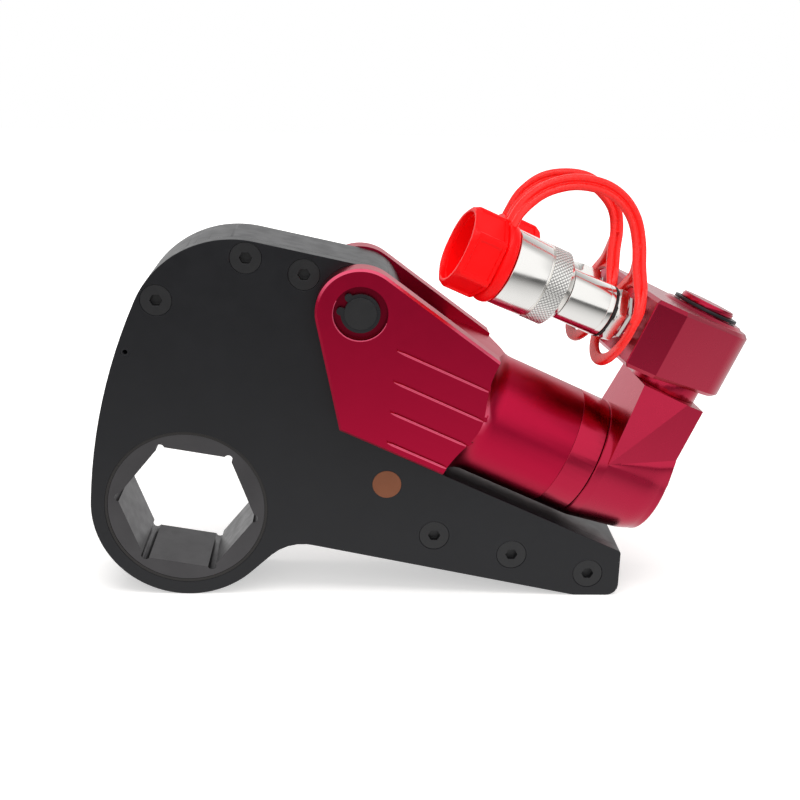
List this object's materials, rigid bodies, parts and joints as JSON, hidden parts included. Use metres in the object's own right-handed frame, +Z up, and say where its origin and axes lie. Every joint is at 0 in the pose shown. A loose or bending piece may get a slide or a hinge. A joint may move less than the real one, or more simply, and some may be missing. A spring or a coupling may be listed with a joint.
{
  "type": "hydraulic torque wrench",
  "caption": "Low-profile hydraulic torque wrench: hexagon ratchet cassette with reaction foot, tilted ram head, two-axis swivel and capped quick couplers.",
  "frame": {"origin": "on the axis of the drive hexagon, midway through the cassette", "axes": "+X along the tool from the hexagon towards the reaction foot's toe, +Y along the hexagon's axis towards the back face, +Z up with the tool standing on its nose and foot"},
  "size_m": [0.2496, 0.0719, 0.1628],
  "materials": {
    "black_casing": "satin black oxide",
    "black_screw": "black oxide",
    "bronze": "turned bronze",
    "bush": "dark bearing bronze",
    "ratchet_steel": "phosphated steel",
    "tool_steel": "ground steel",
    "red_anodised": "red anodised, satin",
    "chrome_rod": "hard chrome",
    "nickel": "nickel plated",
    "seal": "nitrile rubber",
    "red_plastic": "soft moulded plastic",
    "spring_steel": "black spring steel"
  },
  "bodies": {
    "tool": {"main_casing": "black_casing", "cover_plate": "black_casing", "cover_screws": "black_screw", "locating_dowel": "bronze", "roll_pin": "black_screw", "hub_bush_front": "bush", "hub_bush_back": "bush", "cylinder_body": "red_anodised", "end_cap": "red_anodised", "rod_seal": "seal", "link_pin": "black_screw", "link_clip_front": "spring_steel", "link_clip_back": "spring_steel", "elbow_clip": "spring_steel", "elbow_seals": "seal"},
    "ratchet": {"ratchet_wheel": "ratchet_steel"},
    "drive_arm": {"drive_plate_front": "tool_steel", "drive_plate_back": "tool_steel", "arm_spacer": "tool_steel", "crank_pin": "tool_steel", "segment_spring": "spring_steel"},
    "segment": {"drive_segment": "tool_steel"},
    "ram": {"piston": "tool_steel", "piston_seal": "seal", "piston_rod": "chrome_rod"},
    "swivel_elbow": {"elbow": "red_anodised", "swivel_post": "red_anodised", "post_clip": "spring_steel", "post_seals": "seal"},
    "manifold": {"manifold_block": "red_anodised", "front_nipple": "nickel", "front_body": "nickel", "front_seal_ring": "seal", "front_poppet": "nickel", "rear_nipple": "nickel", "rear_body": "nickel", "rear_poppet": "nickel", "plug_strap": "red_plastic", "cap_strap": "red_plastic"},
    "lock_sleeve": {"front_sleeve": "nickel"},
    "plug": {"dust_plug": "red_plastic"},
    "cap": {"dust_cap": "red_plastic"}
  },
  "joints": [
    {"name": "piston_stroke", "type": "slide", "parent": "tool", "child": "ram", "axis": [-0.9123, 0, 0.4094], "range_m": [0, 0.033]},
    {"name": "arm_swing", "type": "hinge", "parent": "tool", "child": "drive_arm", "pos_m": [0, 0, 0], "axis": [0, -1, 0], "range_deg": [0, 23.9]},
    {"name": "ratchet_turn", "type": "hinge", "parent": "tool", "child": "ratchet", "pos_m": [0, 0, 0], "axis": [0, -1, 0], "range_deg": [0, 23.9]},
    {"name": "segment_lift", "type": "slide", "parent": "drive_arm", "child": "segment", "axis": [0.5893, 0, 0.8079], "range_m": [0, 0.0028], "stiffness_N_per_m": 600, "springref_m": -0.002, "deforming": ["segment_spring"]},
    {"name": "elbow_swivel", "type": "hinge", "parent": "tool", "child": "swivel_elbow", "pos_m": [0.15968, 0, 0.01388], "axis": [0.9123, 0, -0.4094], "range_deg": [-95, 95]},
    {"name": "manifold_swivel", "type": "hinge", "parent": "swivel_elbow", "child": "manifold", "pos_m": [0.18834, 0.00227, 0.05576], "axis": [0.409, 0.0454, 0.9114], "continuous": true},
    {"name": "sleeve_turn", "type": "hinge", "parent": "manifold", "child": "lock_sleeve", "pos_m": [0.12093, -0.02334, 0.09497], "axis": [-0.9044, -0.1131, 0.4115], "continuous": true},
    {"name": "plug_pull", "type": "slide", "parent": "manifold", "child": "plug", "axis": [-0.9044, -0.1131, 0.4115], "range_m": [0, 0.012], "deforming": ["plug_strap"]},
    {"name": "cap_pull", "type": "slide", "parent": "manifold", "child": "cap", "axis": [-0.9044, -0.1131, 0.4115], "range_m": [0, 0.014], "deforming": ["cap_strap"]}
  ],
  "couplings": [
    {"joint": "arm_swing", "follows": "piston_stroke", "rad_per_m": 12.628},
    {"joint": "ratchet_turn", "follows": "piston_stroke", "rad_per_m": 12.628}
  ]
}
